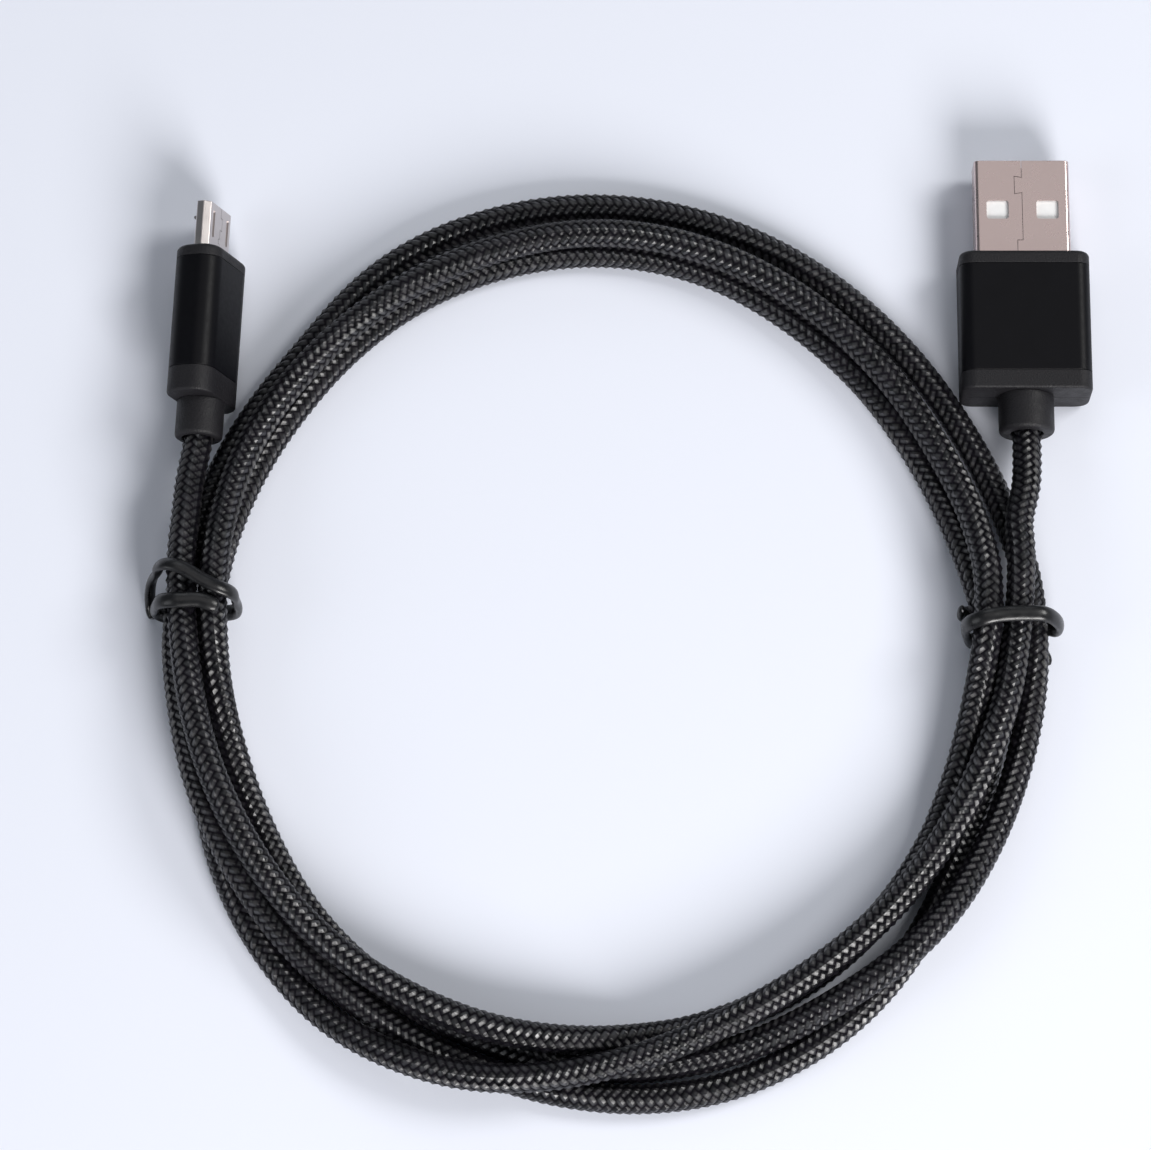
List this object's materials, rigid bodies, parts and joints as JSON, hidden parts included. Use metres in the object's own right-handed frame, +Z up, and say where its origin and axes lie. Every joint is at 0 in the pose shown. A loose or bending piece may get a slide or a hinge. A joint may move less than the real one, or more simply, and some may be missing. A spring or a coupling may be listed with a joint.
{
  "type": "charging cable",
  "caption": "Coiled braided charging cable with a USB-A plug and a micro-USB plug, held in its coil by wire twist ties.",
  "frame": {"origin": "on the surface that the cable lies on, under the middle of the box around its plugs and twist ties", "axes": "+Z up from that surface; +Y the way both plugs point, away from the coil; +X from the micro-USB plug to the USB-A plug"},
  "size_m": [0.1182, 0.1211, 0.0113],
  "materials": {
    "braided_nylon": "black nylon braid with a soft sheen",
    "tie_vinyl": "satin vinyl",
    "tie_steel": "drawn wire",
    "textured_plastic": "fine spark-eroded texture",
    "satin_black": "smooth satin",
    "satin_nickel": "satin nickel plate",
    "bright_nickel": "bright nickel plate",
    "white_plastic": "plain",
    "black_nylon": "plain",
    "black_vinyl": "plain",
    "gold_contact": "gold plate",
    "wire_1": "red insulation",
    "wire_2": "white insulation",
    "wire_3": "green insulation",
    "wire_4": "black insulation"
  },
  "bodies": {
    "cable": {"cord_coil": "braided_nylon", "micro_tail": "braided_nylon", "usb_a_tail": "braided_nylon", "left_tie_coat": "tie_vinyl", "right_tie_coat": "tie_vinyl", "left_tie_wire": "tie_steel", "right_tie_wire": "tie_steel", "usb_a_strain_relief": "textured_plastic", "usb_a_rear_collar": "textured_plastic", "usb_a_sleeve": "satin_black", "usb_a_front_collar": "textured_plastic", "usb_a_crimp": "satin_nickel", "usb_a_inner_mould": "black_vinyl", "usb_a_shell": "satin_nickel", "usb_a_insulator": "white_plastic", "micro_strain_relief": "textured_plastic", "micro_rear_collar": "textured_plastic", "micro_sleeve": "satin_black", "micro_front_collar": "textured_plastic", "micro_crimp": "bright_nickel", "micro_inner_mould": "black_vinyl", "micro_shell": "bright_nickel", "micro_insulator": "black_nylon", "usb_a_contact_1": "gold_contact", "usb_a_wire_1": "wire_1", "micro_wire_1": "wire_1", "usb_a_contact_2": "gold_contact", "usb_a_wire_2": "wire_2", "micro_wire_2": "wire_2", "usb_a_contact_3": "gold_contact", "usb_a_wire_3": "wire_3", "micro_wire_3": "wire_3", "usb_a_contact_4": "gold_contact", "usb_a_wire_4": "wire_4", "micro_wire_4": "wire_4"},
    "micro_latch_left_spring": {"micro_latch_left": "bright_nickel"},
    "micro_latch_right_spring": {"micro_latch_right": "bright_nickel"},
    "micro_contact_1_spring": {"micro_contact_1": "gold_contact"},
    "micro_contact_2_spring": {"micro_contact_2": "gold_contact"},
    "micro_contact_3_spring": {"micro_contact_3": "gold_contact"},
    "micro_contact_4_spring": {"micro_contact_4": "gold_contact"},
    "micro_contact_5_spring": {"micro_contact_5": "gold_contact"}
  },
  "joints": [
    {"name": "micro_latch_left_flex", "type": "hinge", "parent": "cable", "child": "micro_latch_left_spring", "pos_m": [-0.0529, 0.02084, 0.00763], "axis": [0.3742, -0.0183, -0.9272], "range_deg": [0, 8], "stiffness_Nm_per_rad": 0.08},
    {"name": "micro_latch_right_flex", "type": "hinge", "parent": "cable", "child": "micro_latch_right_spring", "pos_m": [-0.05099, 0.02075, 0.0029], "axis": [0.3742, -0.0183, -0.9272], "range_deg": [0, 8], "stiffness_Nm_per_rad": 0.08},
    {"name": "micro_contact_1_flex", "type": "hinge", "parent": "cable", "child": "micro_contact_1_spring", "pos_m": [-0.0519, 0.02079, 0.00668], "axis": [0.3742, -0.0183, -0.9272], "range_deg": [0, 3], "stiffness_Nm_per_rad": 0.05},
    {"name": "micro_contact_2_flex", "type": "hinge", "parent": "cable", "child": "micro_contact_2_spring", "pos_m": [-0.05165, 0.02078, 0.00608], "axis": [0.3742, -0.0183, -0.9272], "range_deg": [0, 3], "stiffness_Nm_per_rad": 0.05},
    {"name": "micro_contact_3_flex", "type": "hinge", "parent": "cable", "child": "micro_contact_3_spring", "pos_m": [-0.05141, 0.02077, 0.00548], "axis": [0.3742, -0.0183, -0.9272], "range_deg": [0, 3], "stiffness_Nm_per_rad": 0.05},
    {"name": "micro_contact_4_flex", "type": "hinge", "parent": "cable", "child": "micro_contact_4_spring", "pos_m": [-0.05117, 0.02075, 0.00488], "axis": [0.3742, -0.0183, -0.9272], "range_deg": [0, 3], "stiffness_Nm_per_rad": 0.05},
    {"name": "micro_contact_5_flex", "type": "hinge", "parent": "cable", "child": "micro_contact_5_spring", "pos_m": [-0.05092, 0.02074, 0.00427], "axis": [0.3742, -0.0183, -0.9272], "range_deg": [0, 3], "stiffness_Nm_per_rad": 0.05}
  ]
}
